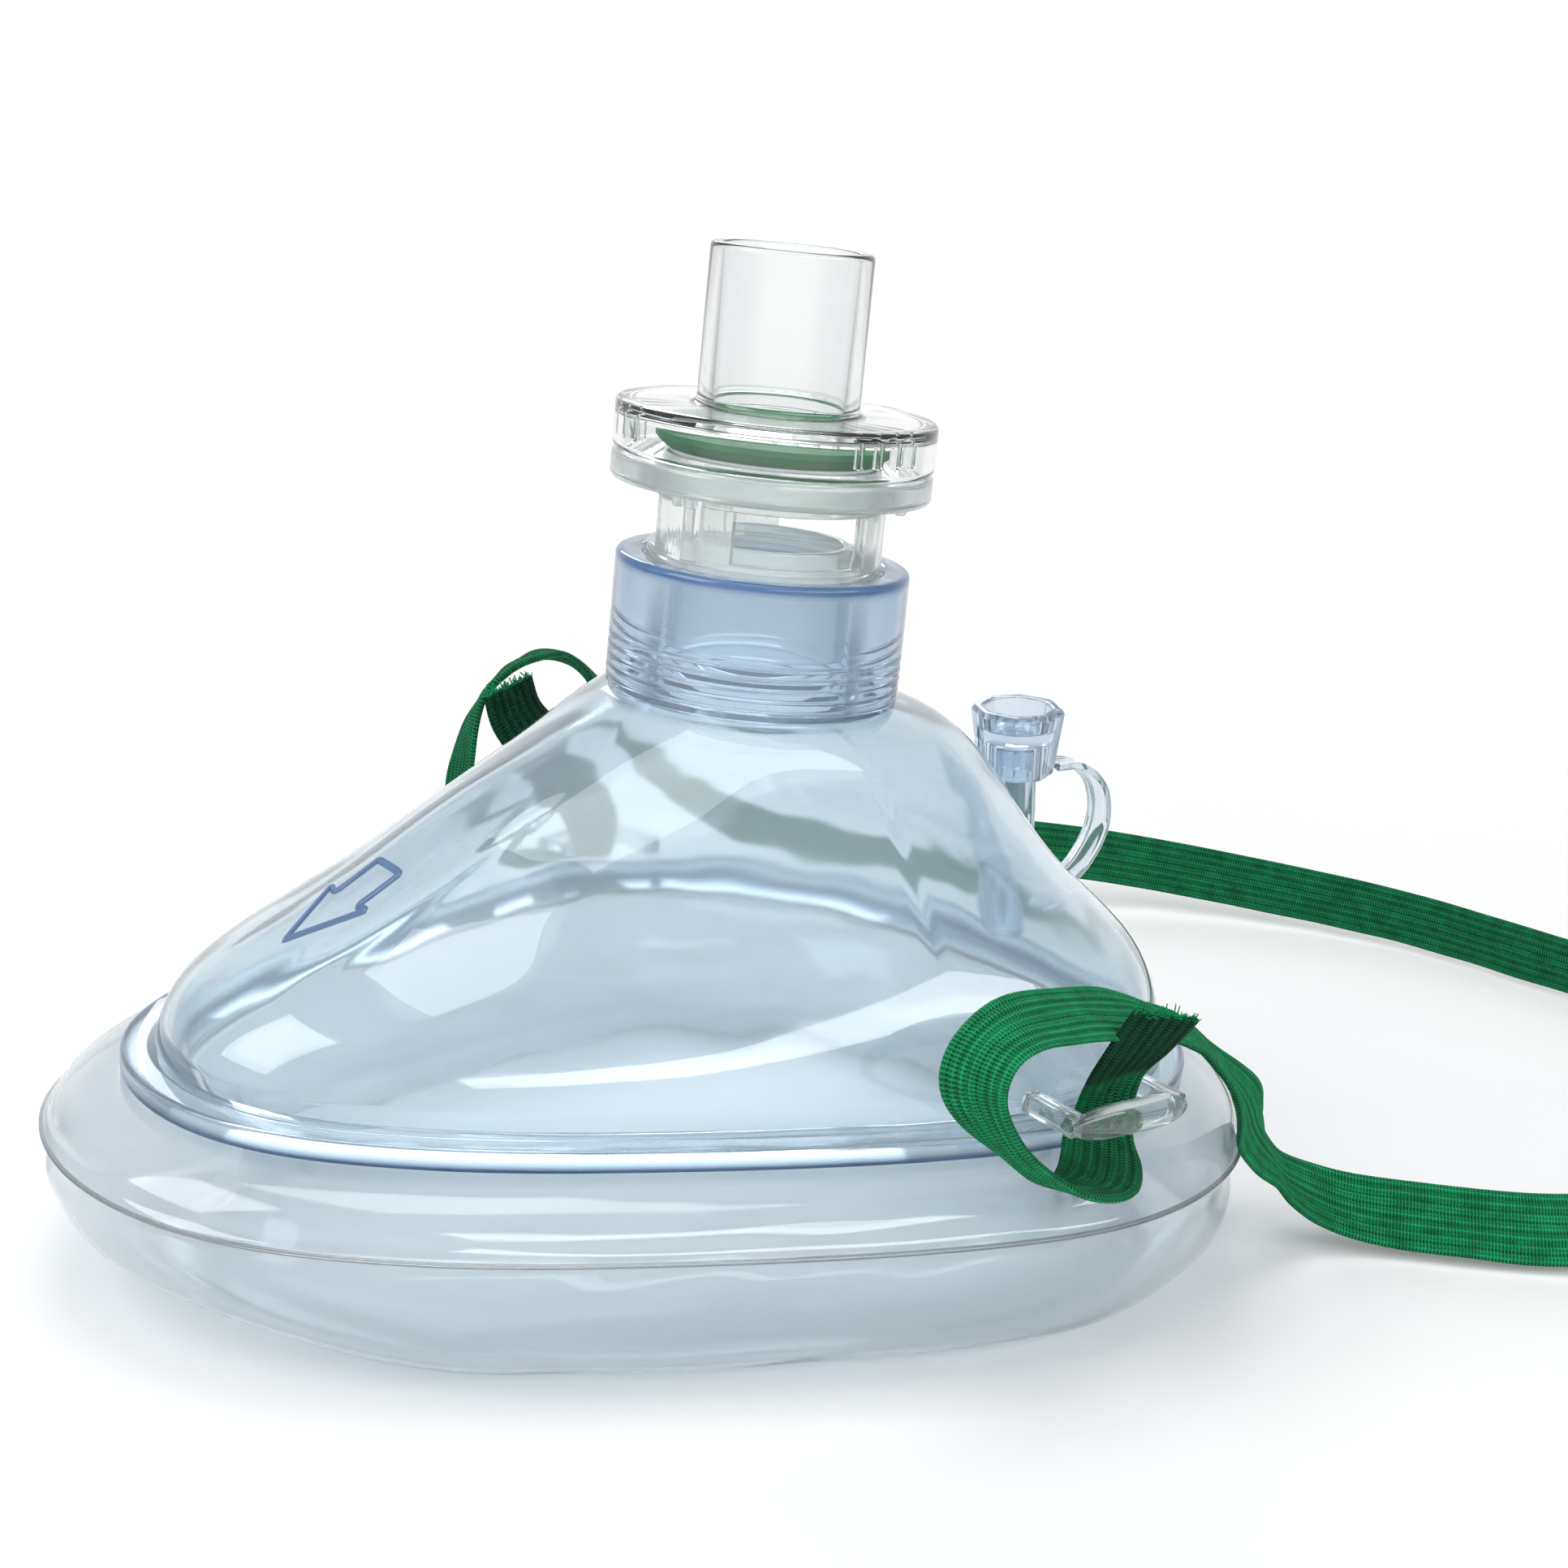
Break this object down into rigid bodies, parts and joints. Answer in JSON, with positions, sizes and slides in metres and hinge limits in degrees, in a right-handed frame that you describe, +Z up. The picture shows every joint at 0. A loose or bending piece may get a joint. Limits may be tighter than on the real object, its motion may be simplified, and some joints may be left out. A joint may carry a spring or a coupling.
{
  "type": "pocket resuscitation mask",
  "caption": "Clear pocket mask with an air cushion, push-in one-way valve and mouthpiece, capped oxygen port and elastic head strap.",
  "frame": {"origin": "middle of the mask's footprint (strap left out), on the surface it rests on", "axes": "+X to the wide chin end, -X to the narrow nose end, +Y to the far strap lug, +Z up along the neck and valve axis"},
  "size_m": [0.2569, 0.1535, 0.1131],
  "materials": {
    "clear_pvc": "clear moulded vinyl, glossy",
    "blue_pvc": "clear vinyl with a pale blue tint, thick wall",
    "film_pvc": "thin clear vinyl film, glossy",
    "clear_plastic": "clear rigid polycarbonate or polystyrene",
    "frosted_plastic": "frosted clear rigid plastic",
    "green_silicone": "soft green silicone",
    "green_elastic": "woven ribbed elastic webbing"
  },
  "bodies": {
    "mask": {"mask_dome": "clear_pvc", "mask_flange": "blue_pvc", "nose_arrow": "clear_pvc", "neck_collar": "blue_pvc", "cushion_upper": "film_pvc", "cushion_lower": "film_pvc", "strap_lug_near": "clear_plastic", "strap_lug_far": "clear_plastic", "oxygen_port": "blue_pvc", "oxygen_cap_tether": "clear_pvc", "head_strap": "green_elastic", "strap_loop_near": "green_elastic", "strap_loop_far": "green_elastic"},
    "valve": {"valve_body": "clear_plastic", "valve_ring": "frosted_plastic", "valve_cover": "clear_plastic"},
    "diaphragm": {"valve_diaphragm": "green_silicone"},
    "cap": {"oxygen_cap": "blue_pvc"}
  },
  "joints": [
    {"name": "valve_pull", "type": "slide", "parent": "mask", "child": "valve", "axis": [0, 0, 1], "range_m": [0, 0.03]},
    {"name": "diaphragm_lift", "type": "slide", "parent": "valve", "child": "diaphragm", "axis": [0, 0, 1], "range_m": [0, 0.0015]},
    {"name": "oxygen_cap_pull", "type": "slide", "parent": "mask", "child": "cap", "axis": [-0.0995, 0, 0.995], "range_m": [0, 0.012]}
  ]
}
